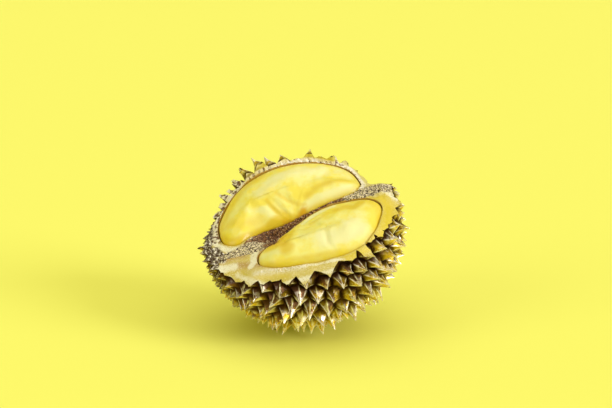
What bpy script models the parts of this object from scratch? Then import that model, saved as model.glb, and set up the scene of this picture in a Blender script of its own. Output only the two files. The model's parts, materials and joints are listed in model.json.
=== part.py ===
"""An opened durian: a thorny husk with two seed chambers, and the pod of flesh that lies in each.

Run with: blender --background --python part.py
Units are metres, +Z up. The fruit lies on its lowest thorns, whose tips are pressed flat at z = 0.

The fruit is modelled in its own axes first: u along the core from the blossom end (-u) to the stalk
end (+u), v across the opening, and w out of the opening. fruit_axes() then tips it as it lies.
"""

import math
import random

import bmesh
import bpy
import numpy as np
from mathutils import Matrix, Vector

MM = 0.001

# The fruit's body, without its thorns
BLOSSOM_END = 99.5 * MM
STALK_END = 96.5 * MM
BODY_RADIUS = 89.4 * MM
POLE_SHARPNESS = 0.5
CHAMBERS = 5
LOBE_SWELL = 0.03
FIRST_LOBE = math.radians(54)
FAR_SIDE = (-0.2, 0.6)
STALK_TAPER = 0.10
STALK_TAPER_SPAN = (30 * MM, 95 * MM)
BLOSSOM_SWELL = 0.05
BLOSSOM_SWELL_SPAN = (5 * MM, 70 * MM)

# Thorns
THORN_COUNT = 550
THORN_SLENDERNESS = 0.95
END_THORN_SHARE = 0.66
END_THORN_SPAN = (42 * MM, 92 * MM)
POLE_CROWDING = 0.2
BLOSSOM_CROWDING = 0.1
SITE_SCATTER = 0.13
HEIGHT_SPREAD = 0.14
LEAN_SPREAD = 0.12
THORN_SEED = 7
GOLDEN_ANGLE = math.pi * (3 - math.sqrt(5))

# The opening, in the fruit's own axes
RIM_LEVEL = 17 * MM
FAR_RIM_RISE = 12.7 * MM
FAR_RIM_ARCH = 4.2
FAR_RIM_TOP = -8 * MM
GROOVE_DEPTH = 11 * MM
GROOVE_PLACE = -8 * MM
GROOVE_WIDTH = 12 * MM
GROOVE_START = (-60 * MM, -30 * MM)
GROOVE_FADE = (-5 * MM, 35 * MM)
NOTCH_DEPTH = 17 * MM
NOTCH_START = (66 * MM, 82 * MM)
NOTCH_SIDE = (12 * MM, 34 * MM)
SHELF_DROP = 3 * MM
SHELF_FADE = (-85 * MM, -45 * MM)
SHELF_SIDE = (25 * MM, 60 * MM)
FAR_RIM_TURN = math.radians(17)
THORN_ROOM = 15 * MM
THORN_ROOM_EDGE = (-2 * MM, 3 * MM)
THORN_ROOM_FADE = (45 * MM, 60 * MM)
RIM_ROW_REACH = 8 * MM
RIM_ROW_SPREAD = 0.2
RIM_ROW_DROP = 1.5 * MM
RIM_ROW_GROWTH = 1.3
CUT_THORN_SHARE = 0.1
OPENING_GRID = 5 * MM
OPENING_HALF = 120 * MM
OPENING_TOP = 140 * MM

# Pods: how far each swells above its widest line, and how deep it lies below it
POD_SINK = 3.5 * MM
POD_CROWN = 12 * MM
POD_DEPTH = 40 * MM
POD_GAP = 0.8 * MM
POD_GROOVE_SHARE = 0.65
BELLY_FULLNESS = 0.8
POD_SIDES = 36
POD_RINGS = 5
CHAMBER_TOP = 60 * MM

# How the fruit lies: tipped towards -Y, with its stalk end raised
OPENING_LEAN = math.radians(53)
CORE_RISE = math.radians(20)
EYE_RISE = math.radians(14)
FRUIT_CENTRE = Vector((1.06, -3.0, 101.3)) * MM
FLOOR_BLOCK = 400 * MM


def ramp(x, start, end):
    """0 before start, 1 after end, and smooth between them."""
    t = min(max((x - start) / (end - start), 0.0), 1.0)
    return t * t * (3 - 2 * t)


def fruit_axes():
    """The matrix that carries the fruit's own u, v, w to where it lies on the floor."""
    right = Vector((1, 0, 0))
    up = Vector((0, math.sin(EYE_RISE), math.cos(EYE_RISE)))
    front = Vector((0, -math.cos(EYE_RISE), math.sin(EYE_RISE)))
    out = (
        -math.sin(CORE_RISE) * math.sin(OPENING_LEAN) * right
        + math.cos(CORE_RISE) * math.sin(OPENING_LEAN) * up
        + math.cos(OPENING_LEAN) * front
    )
    core = math.cos(CORE_RISE) * right + math.sin(CORE_RISE) * up
    across = out.cross(core)
    turn = Matrix((core, across, out)).transposed().to_4x4()
    return Matrix.Translation(FRUIT_CENTRE) @ turn


def body_radius(u, turn):
    """Distance from the core to the skin at a place along the core, in the direction turn about it."""
    half_length = BLOSSOM_END if u < 0 else STALK_END
    across = max(1 - (u / half_length) ** 2, 0.0) ** POLE_SHARPNESS
    lobe = 1 + LOBE_SWELL * across * math.cos(CHAMBERS * (turn - FIRST_LOBE))
    far_side = ramp(math.cos(turn), *FAR_SIDE)
    taper = 1 - STALK_TAPER * ramp(u, *STALK_TAPER_SPAN) * far_side
    swell = 1 + BLOSSOM_SWELL * ramp(-u, *BLOSSOM_SWELL_SPAN) * far_side
    return BODY_RADIUS * across * lobe * taper * swell


def skin_point(direction):
    """The point of the skin that a unit vector from the fruit's centre leads to."""
    u = direction.x * (BLOSSOM_END if direction.x < 0 else STALK_END)
    turn = math.atan2(direction.z, direction.y)
    radius = body_radius(u, turn)
    return Vector((u, radius * math.cos(turn), radius * math.sin(turn)))


def rim_level(u, v, groove=GROOVE_DEPTH):
    """Height w of the cut husk.

    The far rim arches up. The wall between the chambers dips in its middle, the blossom end is a low
    shelf, and past the far chamber the stalk end falls to a notch.
    """
    arch = FAR_RIM_RISE - FAR_RIM_ARCH * (u - FAR_RIM_TOP) ** 2
    level = RIM_LEVEL + max(v, 0.0) / BODY_RADIUS * arch
    middle = ramp(u, *GROOVE_START) * (1 - ramp(u, *GROOVE_FADE))
    level -= groove * middle * math.exp(-(((v - GROOVE_PLACE) / GROOVE_WIDTH) ** 2))
    level -= NOTCH_DEPTH * ramp(u, *NOTCH_START) * ramp(v, *NOTCH_SIDE)
    return level - SHELF_DROP * (1 - ramp(u, *SHELF_FADE)) * ramp(-v, *SHELF_SIDE)


def above_rim(place):
    """How far a place on the skin is above the level of the cut."""
    return place.z - rim_level(place.x, place.y)


def in_rim_row(site):
    """The site, or where it moves to if it is near the far rim, whose thorns stand in a row below it."""
    place = skin_point(site)
    above = above_rim(place)
    if place.y < 0 or abs(above) > RIM_ROW_REACH:
        return site
    drop = above * (1 - RIM_ROW_SPREAD) + RIM_ROW_DROP
    return Matrix.Rotation(-drop / place.y, 3, "X") @ site


def thorn_sites():
    """Unit vectors to the thorns, spread as on a golden spiral about the core and closer at its ends."""
    chance = random.Random(THORN_SEED)
    pitch = math.sqrt(4 * math.pi / THORN_COUNT)
    sites = []
    for i in range(THORN_COUNT):
        along = 1 - 2 * (i + 0.5) / THORN_COUNT
        along += (POLE_CROWDING * along - BLOSSOM_CROWDING) * (1 - along * along)
        ring = math.sqrt(1 - along * along)
        turn = i * GOLDEN_ANGLE
        site = Vector((along, ring * math.cos(turn), ring * math.sin(turn)))
        nudge = Vector([chance.uniform(-1, 1) for _ in range(3)])
        sites.append(in_rim_row((site + nudge * SITE_SCATTER * pitch).normalized()))
    return sites


def cells_between(sites):
    """Corners and faces of the cells round the sites, one face for each site, in the sites' order."""
    hull = bmesh.new()
    for site in sites:
        hull.verts.new(site)
    hull.verts.index_update()
    bmesh.ops.convex_hull(hull, input=hull.verts[:])
    hull.faces.index_update()
    hull.verts.ensure_lookup_table()
    corners = [face.calc_center_median().normalized() for face in hull.faces]
    cells = []
    for vert in hull.verts:
        side = vert.co.orthogonal().normalized()
        other = vert.co.cross(side)

        def bearing(face, side=side, other=other):
            centre = face.calc_center_median()
            return math.atan2(centre.dot(other), centre.dot(side))

        cells.append([face.index for face in sorted(vert.link_faces, key=bearing)])
    hull.free()
    return corners, cells


def link(name, mesh, colour, roughness, metallic):
    """An object of that mesh in the scene, placed as the fruit lies."""
    obj = bpy.data.objects.new(name, mesh)
    bpy.context.scene.collection.objects.link(obj)
    obj.matrix_world = fruit_axes()
    material = bpy.data.materials.new(name)
    material.use_nodes = True
    surface = material.node_tree.nodes["Principled BSDF"]
    surface.inputs["Base Color"].default_value = (*colour, 1)
    surface.inputs["Roughness"].default_value = roughness
    surface.inputs["Metallic"].default_value = metallic
    mesh.materials.append(material)
    return obj


def cutter(name, bm):
    """A hidden object that Booleans cut with."""
    bmesh.ops.recalc_face_normals(bm, faces=bm.faces[:])
    mesh = bpy.data.meshes.new(name)
    bm.to_mesh(mesh)
    bm.free()
    obj = link(name, mesh, (0.5, 0.5, 0.5), 0.5, 0.0)
    obj.hide_render = True
    obj.display_type = "WIRE"
    return obj


def thorn_share(foot):
    """How tall a thorn on that foot is, as a share of what its width gives it."""
    share = 1 - (1 - END_THORN_SHARE) * ramp(abs(foot.x), *END_THORN_SPAN)
    row_edge = RIM_ROW_REACH * RIM_ROW_SPREAD
    if foot.y < 0 or above_rim(foot) < -row_edge - RIM_ROW_DROP:
        return share
    return share * (RIM_ROW_GROWTH if above_rim(foot) < row_edge else CUT_THORN_SHARE)


def thorny_body():
    """The whole fruit: a cell of skin round each site, poked out into a pyramid."""
    sites = thorn_sites()
    corners, cells = cells_between(sites)
    chance = random.Random(THORN_SEED + 1)
    bm = bmesh.new()
    verts = [bm.verts.new(skin_point(corner)) for corner in corners]
    for cell in cells:
        bm.faces.new([verts[i] for i in cell])
    bm.normal_update()
    outward = [skin_point(site).normalized() for site in sites]
    sizes = [math.sqrt(face.calc_area()) for face in bm.faces]
    tips = bmesh.ops.poke(bm, faces=bm.faces[:])["verts"]
    for tip, site, size, out in zip(tips, sites, sizes, outward):
        base = skin_point(site)
        height = THORN_SLENDERNESS * size * (1 + HEIGHT_SPREAD * chance.uniform(-1, 1))
        height *= thorn_share(base)
        lean = Vector([chance.uniform(-1, 1) for _ in range(3)]) * LEAN_SPREAD
        tip.co = base + (out + lean).normalized() * height
    bmesh.ops.recalc_face_normals(bm, faces=bm.faces[:])
    mesh = bpy.data.meshes.new("husk")
    bm.to_mesh(mesh)
    bm.free()
    return link("husk", mesh, (0.56, 0.42, 0.16), 0.35, 0.9)


def opening_level(u, v):
    """Height w of the cut: the rim's level, lifted outside the far rim to leave its thorns whole."""
    level = rim_level(u, v)
    if v > 0:
        outside = v - body_radius(u, FAR_RIM_TURN) * math.cos(FAR_RIM_TURN)
        level += THORN_ROOM * ramp(outside, *THORN_ROOM_EDGE) * (1 - ramp(u, *THORN_ROOM_FADE))
    return level


def opening_cutter():
    """Everything above the cut, as one block with the cut as its underside."""
    bm = bmesh.new()
    steps = round(2 * OPENING_HALF / OPENING_GRID)
    bmesh.ops.create_grid(bm, x_segments=steps, y_segments=steps, size=OPENING_HALF)
    for vert in bm.verts:
        vert.co.z = opening_level(vert.co.x, vert.co.y)
    top = bmesh.ops.extrude_face_region(bm, geom=bm.faces[:])["geom"]
    for vert in (item for item in top if isinstance(item, bmesh.types.BMVert)):
        vert.co.z = OPENING_TOP
    flat = [face for face in bm.faces if all(v.co.z == OPENING_TOP for v in face.verts)]
    bmesh.ops.dissolve_faces(bm, faces=flat)
    return cutter("opening_cutter", bm)


def smooth_loop(points, count):
    """Points spaced evenly in step along a closed smooth curve through the given ones (Catmull-Rom)."""
    points = np.array(points, float) * MM
    loop = []
    for k in range(count):
        place = k / count * len(points)
        i = int(place)
        t = place - i
        a, b, c, d = (points[(i + j) % len(points)] for j in (-1, 0, 1, 2))
        bend = 2 * a - 5 * b + 4 * c - d
        twist = 3 * b - a - 3 * c + d
        loop.append(b + 0.5 * ((c - a) * t + bend * t**2 + twist * t**3))
    return loop


# Widest line of each pod, looking into the opening (u, v in millimetres), anticlockwise from the stalk end
FAR_POD_LINE = [
    (69, 25), (63, 54), (42, 70), (8, 78), (-30, 78), (-60, 67), (-80, 40), (-80, 5), (-67, -7), (-52, 0),
    (-36, 4), (-19, 4), (-3, 5), (16, 6), (38, 7), (61, 11),
]
NEAR_POD_LINE = [
    (78, -32), (71, -10), (46, 0), (26, 2), (10, 1), (-3, -2), (-14, -7), (-24, -14), (-31, -26), (-41, -28),
    (-50, -36), (-50, -49), (-36, -61), (-8, -71), (30, -77), (57, -67),
]
FAR_POD_SPINE = (-42 * MM, 30 * MM, 37 * MM)
NEAR_POD_SPINE = (-22 * MM, 38 * MM, -42 * MM)


def pod_level(place):
    """Height w of the pod's widest line at a place on it, and of its middle at a place on its spine."""
    return rim_level(*place, GROOVE_DEPTH * POD_GROOVE_SHARE) - POD_SINK


def pod_ring(line, spine, share, grow, rise):
    """The pod's widest line, drawn in towards its spine to that share, grown outwards and raised."""
    first, last, spine_v = spine
    ring = []
    for widest in line:
        core = Vector((min(max(widest[0], first), last), spine_v))
        arm = Vector(widest) - core
        place = core + arm * share + arm.normalized() * grow
        level = pod_level(widest) * share + pod_level(core) * (1 - share)
        ring.append((*place, level + rise))
    return ring


def pod_shape(line, spine, grow=0.0, open_top=None):
    """A closed pod: a deep rounded belly and a swollen crown. With open_top its crown runs straight up."""
    loop = smooth_loop(line, POD_SIDES)
    angles = [k / (POD_RINGS + 0.5) * math.pi / 2 for k in range(POD_RINGS + 1)]
    shape = []
    for angle in reversed(angles):
        share = math.cos(angle) ** BELLY_FULLNESS
        shape.append(pod_ring(loop, spine, share, grow, -(POD_DEPTH + grow) * math.sin(angle)))
    if open_top is None:
        for angle in angles[1:]:
            shape.append(pod_ring(loop, spine, math.cos(angle), grow, POD_CROWN * math.sin(angle)))
    else:
        shape.append([(u, v, open_top) for u, v, _ in shape[-1]])
    bm = bmesh.new()
    rings = [[bm.verts.new(point) for point in ring] for ring in shape]
    for lower, upper in zip(rings, rings[1:]):
        for k in range(POD_SIDES):
            n = (k + 1) % POD_SIDES
            bm.faces.new((lower[k], lower[n], upper[n], upper[k]))
    bm.faces.new(rings[0])
    bm.faces.new(rings[-1])
    bmesh.ops.recalc_face_normals(bm, faces=bm.faces[:])
    bmesh.ops.triangulate(bm, faces=bm.faces[:], quad_method="FIXED")
    return bm


def pod(name, line, spine, colour):
    """One pod of flesh, a closed solid."""
    bm = pod_shape(line, spine)
    mesh = bpy.data.meshes.new(name)
    bm.to_mesh(mesh)
    bm.free()
    obj = link(name, mesh, colour, 0.45, 0.0)
    mesh.shade_smooth()
    return obj


def floor_cutter():
    """The space under the floor, which presses the lowest thorn tips flat."""
    bm = bmesh.new()
    bmesh.ops.create_cube(bm, size=FLOOR_BLOCK)
    obj = cutter("floor_cutter", bm)
    obj.matrix_world = Matrix.Translation((0, 0, -FLOOR_BLOCK / 2))
    return obj


def cut(obj, tool):
    """Takes the tool's space out of the object."""
    modifier = obj.modifiers.new(tool.name, "BOOLEAN")
    modifier.operation = "DIFFERENCE"
    modifier.object = tool
    modifier.solver = "EXACT"


def main():
    for obj in list(bpy.data.objects):
        bpy.data.objects.remove(obj)
    husk = thorny_body()
    cut(husk, opening_cutter())
    for name, line, spine in (
        ("far_chamber_cutter", FAR_POD_LINE, FAR_POD_SPINE),
        ("near_chamber_cutter", NEAR_POD_LINE, NEAR_POD_SPINE),
    ):
        cut(husk, cutter(name, pod_shape(line, spine, grow=POD_GAP, open_top=CHAMBER_TOP)))
    cut(husk, floor_cutter())
    pod("far_pod", FAR_POD_LINE, FAR_POD_SPINE, (0.93, 0.74, 0.14))
    pod("near_pod", NEAR_POD_LINE, NEAR_POD_SPINE, (0.94, 0.78, 0.18))


main()
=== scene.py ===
# %% [markdown]
# # An opened durian with a gold-coloured husk
#
# A durian is a round fruit in a thick husk. The husk grows hundreds of thorns, which are pyramids that
# share their foot lines, so no bare skin is left between them. Inside are chambers, and in each lies a
# pod of soft flesh. Here one side of the husk is cut away, and two chambers show.
#
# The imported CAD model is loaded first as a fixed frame. It gives the fruit's box and its three nodes.
# Every piece made below stands for one of those nodes, in the same place.

import bpy
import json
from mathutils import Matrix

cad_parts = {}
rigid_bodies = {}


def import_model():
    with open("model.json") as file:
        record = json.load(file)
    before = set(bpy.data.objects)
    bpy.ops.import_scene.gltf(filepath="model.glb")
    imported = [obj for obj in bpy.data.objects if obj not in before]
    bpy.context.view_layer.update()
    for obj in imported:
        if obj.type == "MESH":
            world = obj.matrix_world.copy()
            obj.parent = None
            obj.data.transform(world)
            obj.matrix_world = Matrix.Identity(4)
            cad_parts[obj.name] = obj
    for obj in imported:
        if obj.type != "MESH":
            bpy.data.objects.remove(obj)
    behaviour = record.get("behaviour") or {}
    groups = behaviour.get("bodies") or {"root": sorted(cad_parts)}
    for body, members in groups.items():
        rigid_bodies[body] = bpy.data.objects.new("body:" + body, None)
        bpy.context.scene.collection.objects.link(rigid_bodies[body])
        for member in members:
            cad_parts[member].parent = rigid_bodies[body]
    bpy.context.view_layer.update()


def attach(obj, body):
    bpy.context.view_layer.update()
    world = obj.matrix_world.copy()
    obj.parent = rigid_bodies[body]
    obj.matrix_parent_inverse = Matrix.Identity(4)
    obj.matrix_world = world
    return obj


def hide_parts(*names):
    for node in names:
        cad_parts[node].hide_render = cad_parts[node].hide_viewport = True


for leftover in list(bpy.data.objects):
    bpy.data.objects.remove(leftover)
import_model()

# %% What the script works with
import json
import math
import random

import bmesh
import numpy as np
from mathutils import Matrix, Vector, noise

MM = 0.001
scene = bpy.context.scene


def mm(*sizes):
    """Sizes given in millimetres, in metres."""
    return tuple(size * MM for size in sizes)


def linked(name, data):
    """An object in the scene that shows that mesh, lamp or camera."""
    obj = bpy.data.objects.new(name, data)
    scene.collection.objects.link(obj)
    return obj


def mesh_from(bm, name, paint=None):
    """A mesh of what the bmesh holds, with a paint's material if one is given. The bmesh is freed."""
    mesh = bpy.data.meshes.new(name)
    bm.to_mesh(mesh)
    bm.free()
    if paint:
        mesh.materials.append(paint.material)
    return mesh


def made_plain(obj, *helpers):
    """The plain mesh that an object's modifiers make. The object and its helpers are then deleted."""
    bpy.context.view_layer.update()
    made = bpy.data.meshes.new_from_object(obj.evaluated_get(bpy.context.evaluated_depsgraph_get()))
    made.name = obj.name
    for used in (obj, *helpers):
        bpy.data.objects.remove(used)
    return made


print("helpers are ready; scene:", scene.name)

# %% [markdown]
# ## How the fruit lies
#
# The fruit is made in its own axes: u runs along the core from the blossom end to the stalk end, v runs
# across the opening, and w comes out of it. A matrix then tips it as it lies, with the opening up and
# towards the front, and the stalk end raised. The angles and the centre repeat those of the CAD model,
# so each piece falls where its node is.

# %% The fruit's own axes
OPENING_LEAN = math.radians(53)
CORE_RISE = math.radians(20)
EYE_RISE = math.radians(14)
FRUIT_CENTRE = Vector((1.06, -3.0, 101.3)) * MM

RIGHT = Vector((1, 0, 0))
UPWARD = Vector((0, math.sin(EYE_RISE), math.cos(EYE_RISE)))
FRONT = Vector((0, -math.cos(EYE_RISE), math.sin(EYE_RISE)))


def fruit_axes():
    """The matrix that carries u, v, w to where the fruit lies."""
    out = (
        -math.sin(CORE_RISE) * math.sin(OPENING_LEAN) * RIGHT
        + math.cos(CORE_RISE) * math.sin(OPENING_LEAN) * UPWARD
        + math.cos(OPENING_LEAN) * FRONT
    )
    core = math.cos(CORE_RISE) * RIGHT + math.sin(CORE_RISE) * UPWARD
    turn = Matrix((core, out.cross(core), out)).transposed().to_4x4()
    return Matrix.Translation(FRUIT_CENTRE) @ turn


FRUIT_AXES = fruit_axes()
print("out of the opening:", [round(x, 3) for x in FRUIT_AXES.col[2][:3]])

# %% [markdown]
# ## The camera
#
# The eye is 1.19 m away and looks down by 14 degrees through a 70 mm lens, so the thorns barely change
# size from front to back. It aims a little above the fruit's centre, which leaves more room over it.

# %% The camera
EYE_DISTANCE = 1190 * MM
AIM_RIGHT = 2 * MM
AIM_UP = 26 * MM
LENS_LENGTH = 70
FILM_WIDTH = 36

lens = bpy.data.cameras.new("camera")
lens.lens = LENS_LENGTH
lens.sensor_width = FILM_WIDTH
camera = linked("camera", lens)
aim = FRUIT_CENTRE + RIGHT * AIM_RIGHT + UPWARD * AIM_UP
eye_turn = Matrix((RIGHT, UPWARD, FRONT)).transposed().to_4x4()
camera.matrix_world = Matrix.Translation(aim + FRONT * EYE_DISTANCE) @ eye_turn
scene.camera = camera
print("eye, mm:", [round(1000 * x) for x in camera.location])

# %% [markdown]
# ## Nodes written as expressions
#
# Materials and Geometry Nodes are both trees of nodes. One class holds a tree, and its node() method adds
# any node: its settings are set first, and then the values or links of its sockets. A second class wraps
# an output, so that Python's own operators add Math nodes, or Vector Math nodes where a vector is in it.

# %% Node trees
def both_ways(operation):
    """The two methods by which an operator adds that node, with a wire on its left or only on its right."""

    def on_left(wire, other):
        return wire.sum(operation, wire, other)

    def on_right(wire, other):
        return wire.sum(operation, other, wire)

    return on_left, on_right


class Wire:
    """One output of a node. Operators on it add the nodes that do the maths."""

    __add__, __radd__ = both_ways("ADD")
    __sub__, __rsub__ = both_ways("SUBTRACT")
    __mul__, __rmul__ = both_ways("MULTIPLY")
    __pow__, __rpow__ = both_ways("POWER")

    def __init__(self, nodes, socket):
        self.nodes = nodes
        self.socket = socket

    def other(self, name):
        """Another output of the same node."""
        return Wire(self.nodes, self.socket.node.outputs[name])

    def sum(self, operation, first, second):
        """The Math or Vector Math node of that operation on two values."""
        wires = [item for item in (first, second) if isinstance(item, Wire)]
        of_vectors = any(wire.socket.type == "VECTOR" for wire in wires)
        kind = "ShaderNodeVectorMath" if of_vectors else "ShaderNodeMath"
        return self.nodes.node(kind, {"operation": operation}, {0: first, 1: second})


class Nodes:
    """A tree of nodes under construction."""

    def __init__(self, tree):
        self.tree = tree

    def feed(self, socket, value):
        """Gives a socket a link or a plain value. A plain number fills all of a vector."""
        if isinstance(value, Wire):
            self.tree.links.new(value.socket, socket)
        elif socket.type == "VECTOR" and isinstance(value, (int, float)):
            socket.default_value = (value, value, value)
        else:
            socket.default_value = value

    def node(self, kind, settings=None, inputs=None, output=0):
        """Adds a node, with its settings set first and then its sockets, and returns one output."""
        node = self.tree.nodes.new(kind)
        for name, value in (settings or {}).items():
            setattr(node, name, value)
        for key, value in (inputs or {}).items():
            self.feed(node.inputs[key], value)
        return Wire(self, node.outputs[output]) if node.outputs else node


def tint(red, green, blue):
    """A colour as a paint chart gives it, from 0 to 255, in the linear values that Blender uses."""
    linear = []
    for share in (red / 255, green / 255, blue / 255):
        linear.append(share / 12.92 if share <= 0.04045 else ((share + 0.055) / 1.055) ** 2.4)
    return (*linear, 1.0)


class Paint(Nodes):
    """A material under construction, round its Principled BSDF."""

    def __init__(self, name):
        self.material = bpy.data.materials.new(name)
        self.material.use_nodes = True
        super().__init__(self.material.node_tree)
        self.surface = self.tree.nodes["Principled BSDF"]

    def finish(self, **sockets):
        """Feeds the surface's sockets, whose spaces are written as underscores, and returns the material."""
        for name, value in sockets.items():
            self.feed(self.surface.inputs[name.replace("_", " ")], value)
        return self.material

    def stored(self, name):
        """A number stored on the mesh under that name."""
        return self.node("ShaderNodeAttribute", {"attribute_name": name}).other("Fac")

    def speckle(self, scale, detail, roughness=0.5):
        """Noise from 0 to 1 in the object's own coordinates, with scale in bumps for each metre."""
        place = self.node("ShaderNodeTexCoord").other("Object")
        inputs = {"Vector": place, "Scale": scale, "Detail": detail, "Roughness": roughness}
        return self.node("ShaderNodeTexNoise", None, inputs)

    def step(self, value, low, high):
        """0 below low, 1 above high, and smooth between them."""
        settings = {"interpolation_type": "SMOOTHSTEP"}
        return self.node("ShaderNodeMapRange", settings, {"Value": value, 1: low, 2: high})

    def blend(self, share, first, second):
        """Two colours mixed: share 0 gives the first."""
        return self.node("ShaderNodeMix", {"data_type": "RGBA"}, {0: share, 6: first, 7: second}, output=2)

    def layered(self, colour, *layers):
        """The colour with each layer, a share and a colour, laid over it in turn."""
        for share, tone in layers:
            colour = self.blend(share, colour, tone)
        return colour

    def bumps(self, height, strength, distance, over=None):
        """A Bump node for the surface's Normal. Its height is a number from 0 to 1."""
        inputs = {"Height": height, "Strength": strength, "Distance": distance}
        if over is not None:
            inputs["Normal"] = over
        return self.node("ShaderNodeBump", None, inputs)


print("node helpers are ready")

# %% [markdown]
# ## Floor and light
#
# The fruit lies on a plain pale yellow floor. A metal skin shows what is round it, so the room matters
# more here than for a dull thing: the thorns need something dark in front of them, something bright
# behind, and the yellow below. The room is therefore dim brown on the eye's side and yellow on the far
# side. Three soft lamps stand so far off that they light the whole floor alike. The one overhead gives
# the general light. The one low on the right gives the gleams, and the long soft shadow to the left. The
# last, low on the left, is weak, and opens up the shadows. What light the room and the floor add is
# yellow, as in a small room with yellow walls, so a shadow is a deeper yellow and not grey.

# %% Floor
FLOOR_YELLOW = tint(253, 251, 122)
FLOOR_GLEAM = tint(250, 240, 20)
FLOOR_GLOW = 0.08
FLOOR_RADIUS = 9.0
FLOOR_SIDES = 96


def make_floor():
    """A wide round floor, which belongs to the scene and not to the fruit."""
    paint = Paint("pale_floor")
    paint.finish(
        Base_Color=FLOOR_YELLOW, Roughness=0.9, Emission_Color=FLOOR_GLEAM, Emission_Strength=FLOOR_GLOW
    )
    bm = bmesh.new()
    bmesh.ops.create_circle(bm, cap_ends=True, segments=FLOOR_SIDES, radius=FLOOR_RADIUS)
    linked("floor", mesh_from(bm, "floor", paint))


make_floor()

# %% Light
# Each lamp: its name, where it shines from, its spread in degrees, its strength and its colour
LAMPS = (
    ("overhead", (0.05, -0.08, 1.0), 90, 1.34, (1.0, 0.99, 0.92)),
    ("right_side", (0.88, -0.4, 0.36), 27, 1.7, (1.0, 1.0, 1.05)),
    ("left_side", (-0.75, -0.45, 0.42), 30, 0.5, (1.0, 0.99, 0.94)),
)
ROOM_SEEN = tint(251, 245, 109)
ROOM_DARK = tint(70, 46, 42)
ROOM_BACK = tint(196, 184, 92)
ROOM_BACK_SPAN = (-0.1, 0.7)
ROOM_FILL = tint(255, 246, 92)
ROOM_FILL_STRENGTH = 0.26


def make_lamp(name, shines_from, spread, strength, colour):
    """A soft lamp so far away that it lights the whole floor alike."""
    lamp = bpy.data.lights.new(name, "SUN")
    lamp.energy = strength
    lamp.angle = math.radians(spread)
    lamp.color = colour
    linked(name, lamp).rotation_euler = Vector(shines_from).to_track_quat("Z", "Y").to_euler()


def make_room():
    """The room: pale yellow to the eye, dark or yellow in mirrors, and a soft yellow light on dull things."""
    room = bpy.data.worlds.new("room")
    room.use_nodes = True
    scene.world = room
    nodes = Nodes(room.node_tree)
    way = nodes.node("ShaderNodeTexCoord").other("Generated")
    backwards = nodes.node("ShaderNodeSeparateXYZ", None, {"Vector": way}).other("Y")
    span = {"Value": backwards, 1: ROOM_BACK_SPAN[0], 2: ROOM_BACK_SPAN[1]}
    share = nodes.node("ShaderNodeMapRange", {"interpolation_type": "SMOOTHSTEP"}, span)
    tones = {0: share, 6: ROOM_DARK, 7: ROOM_BACK}
    tone = nodes.node("ShaderNodeMix", {"data_type": "RGBA"}, tones, output=2)
    lights = ((ROOM_SEEN, 1.0), (tone, 1.0), (ROOM_FILL, ROOM_FILL_STRENGTH))
    seen, mirrored, fill = (
        nodes.node("ShaderNodeBackground", None, {"Color": colour, "Strength": strength})
        for colour, strength in lights
    )
    path = nodes.node("ShaderNodeLightPath")
    lit = nodes.node("ShaderNodeMixShader", None, {0: path.other("Is Diffuse Ray"), 1: mirrored, 2: fill})
    both = nodes.node("ShaderNodeMixShader", None, {0: path.other("Is Camera Ray"), 1: lit, 2: seen})
    nodes.feed(room.node_tree.nodes["World Output"].inputs["Surface"], both)


for facts in LAMPS:
    make_lamp(*facts)
make_room()
scene.view_settings.view_transform = "Standard"

# %% [markdown]
# ## The skin and its thorns
#
# The skin is a round body, a little pointed at the ends of the core, which swells over each of its five
# chambers. The thorns are spread over it like seeds on a sunflower: each is a golden angle further round
# than the last, with a small nudge so that no spiral shows. The convex hull of those points joins each to
# its neighbours, and one cell round each point then tiles the skin. These cells are the thorns' feet.
# Round the far rim the thorns are gathered into a row just below the cut, where they show against the
# background. That row grows taller than the rest, and tallest on its left.

# %% The body's sizes
BLOSSOM_END = 99.5 * MM
STALK_END = 96.5 * MM
BODY_RADIUS = 89.4 * MM
POLE_SHARPNESS = 0.5
CHAMBERS = 5
LOBE_SWELL = 0.03
FIRST_LOBE = math.radians(54)
FAR_SIDE = (-0.2, 0.6)
STALK_TAPER = 0.10
STALK_TAPER_SPAN = mm(30, 95)
BLOSSOM_SWELL = 0.05
BLOSSOM_SWELL_SPAN = mm(5, 70)


def ramp(x, start, end):
    """0 before start, 1 after end, and smooth between them, for a number or an array."""
    t = np.clip((x - start) / (end - start), 0.0, 1.0)
    return t * t * (3 - 2 * t)


def body_radius(u, turn):
    """Distance from the core to the skin at a place along the core, in the direction turn about it."""
    half_length = np.where(np.asarray(u) < 0, BLOSSOM_END, STALK_END)
    across = np.maximum(1 - (u / half_length) ** 2, 0.0) ** POLE_SHARPNESS
    lobe = 1 + LOBE_SWELL * across * np.cos(CHAMBERS * (turn - FIRST_LOBE))
    far_side = ramp(np.cos(turn), *FAR_SIDE)
    taper = 1 - STALK_TAPER * ramp(u, *STALK_TAPER_SPAN) * far_side
    swell = 1 + BLOSSOM_SWELL * ramp(-u, *BLOSSOM_SWELL_SPAN) * far_side
    return BODY_RADIUS * across * lobe * taper * swell


def skin_point(direction):
    """The point of the skin that a unit vector from the fruit's centre leads to."""
    u = direction.x * (BLOSSOM_END if direction.x < 0 else STALK_END)
    turn = math.atan2(direction.z, direction.y)
    radius = float(body_radius(u, turn))
    return Vector((u, radius * math.cos(turn), radius * math.sin(turn)))


# %% The opening's level
RIM_LEVEL = 17 * MM
FAR_RIM_RISE = 12.7 * MM
FAR_RIM_ARCH = 4.2
FAR_RIM_TOP = -8 * MM
GROOVE_DEPTH = 11 * MM
GROOVE_PLACE = -8 * MM
GROOVE_WIDTH = 12 * MM
GROOVE_START = mm(-60, -30)
GROOVE_FADE = mm(-5, 35)
NOTCH_DEPTH = 17 * MM
NOTCH_START = mm(66, 82)
NOTCH_SIDE = mm(12, 34)
SHELF_DROP = 3 * MM
SHELF_FADE = mm(-85, -45)
SHELF_SIDE = mm(25, 60)


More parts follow.
